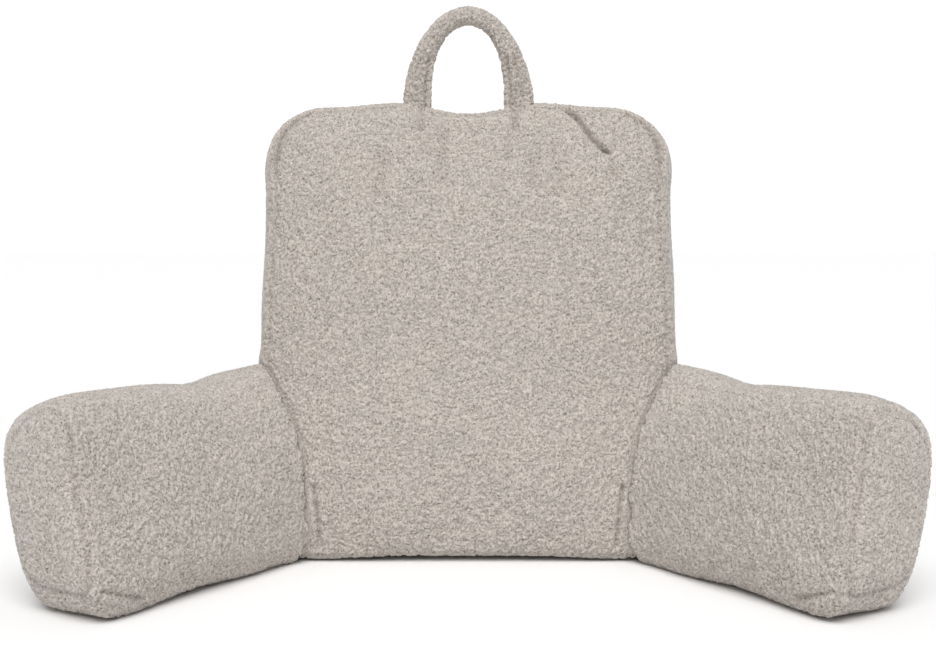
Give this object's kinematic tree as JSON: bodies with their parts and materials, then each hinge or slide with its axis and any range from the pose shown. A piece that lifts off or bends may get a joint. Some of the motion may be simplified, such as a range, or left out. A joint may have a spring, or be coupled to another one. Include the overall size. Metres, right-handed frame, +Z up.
{
  "type": "backrest pillow",
  "caption": "Upright backrest pillow: a tall filled back, filled arms splayed forward and closed by end panels, and a strap handle on top, in curly pile cloth.",
  "frame": {"origin": "under the middle of the whole pillow's box, on the surface that it stands on", "axes": "+X to the right as seen from the front, +Y to the rear, +Z up"},
  "size_m": [0.8454, 0.4374, 0.563],
  "materials": {
    "pile_cloth": "matt curly pile, warm grey"
  },
  "bodies": {
    "root": {"back_cushion": "pile_cloth", "arm_left": "pile_cloth", "arm_right": "pile_cloth", "end_panel_left": "pile_cloth", "end_panel_right": "pile_cloth", "handle": "pile_cloth"}
  },
  "joints": []
}
